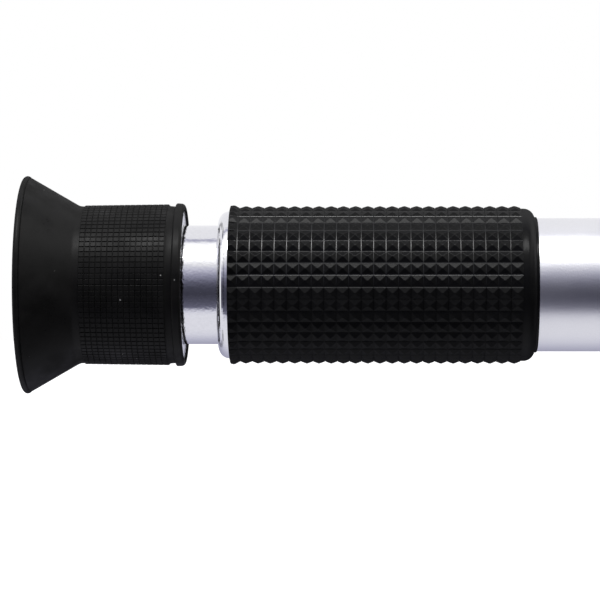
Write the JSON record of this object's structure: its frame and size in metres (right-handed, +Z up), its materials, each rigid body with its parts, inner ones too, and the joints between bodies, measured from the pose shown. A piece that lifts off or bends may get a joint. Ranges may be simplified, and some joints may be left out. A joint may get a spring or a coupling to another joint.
{
  "type": "handheld refractometer",
  "caption": "Handheld refractometer for brewing: flared rubber eyecup with a screw focus, studded rubber grip, satin barrel, and a hinged daylight plate over a sloping prism.",
  "frame": {"origin": "on the optical axis, at the middle of the rubber grip", "axes": "+X along the optical axis from the eyecup towards the prism head, +Z up, with the daylight plate on top"},
  "size_m": [0.1708, 0.04, 0.04],
  "materials": {
    "satin_aluminium": "satin",
    "chrome_plate": "polished",
    "satin_chrome": "satin",
    "grip_rubber": "satin",
    "eyecup_rubber": "matte",
    "black_anodised": "matte",
    "optical_glass": "polished",
    "clear_acrylic": "gloss",
    "brass": "satin",
    "steel": "satin"
  },
  "bodies": {
    "barrel": {"main_tube": "satin_aluminium", "rear_collar": "chrome_plate", "neck_tube": "chrome_plate", "damping_ring": "eyecup_rubber", "grip": "grip_rubber", "reticle_mount": "black_anodised", "reticle": "optical_glass", "reticle_ring": "black_anodised", "head": "satin_chrome", "prism": "optical_glass", "prism_seal": "eyecup_rubber", "hinge_pin": "steel", "guide_pins": "steel", "objective_carrier": "brass", "bimetal_strip": "steel", "strip_rivets": "steel", "objective_cell": "black_anodised", "objective_lens": "optical_glass", "objective_ring": "black_anodised"},
    "ocular": {"eye_lens": "optical_glass", "lens_spacer": "black_anodised", "field_lens": "optical_glass", "lens_ring": "black_anodised"},
    "eyepiece": {"eyepiece_housing": "chrome_plate", "lens_barrel": "black_anodised", "eyecup": "eyecup_rubber"},
    "cover": {"daylight_plate": "clear_acrylic"},
    "calibration": {"calibration_screw": "brass", "screw_clip": "steel"},
    "cap": {"calibration_cap": "eyecup_rubber"}
  },
  "joints": [
    {"name": "focus_slide", "type": "slide", "parent": "barrel", "child": "ocular", "axis": [1, 0, 0], "range_m": [-0.003, 0.003]},
    {"name": "focus_turn", "type": "hinge", "parent": "ocular", "child": "eyepiece", "pos_m": [-0.045, 0, 0], "axis": [1, 0, 0], "range_deg": [-180, 180]},
    {"name": "cover_hinge", "type": "hinge", "parent": "barrel", "child": "cover", "pos_m": [0.072, 0, 0.0085], "axis": [0, -1, 0], "range_deg": [0, 118]},
    {"name": "calibration_turn", "type": "hinge", "parent": "barrel", "child": "calibration", "pos_m": [0.0615, 0, 0.0105], "axis": [0, 0, 1], "range_deg": [-360, 360]},
    {"name": "cap_lift", "type": "slide", "parent": "barrel", "child": "cap", "axis": [0, 0, 1], "range_m": [0, 0.01]}
  ],
  "couplings": [
    {"joint": "focus_slide", "follows": "focus_turn", "m_per_rad": 0.00095492}
  ]
}
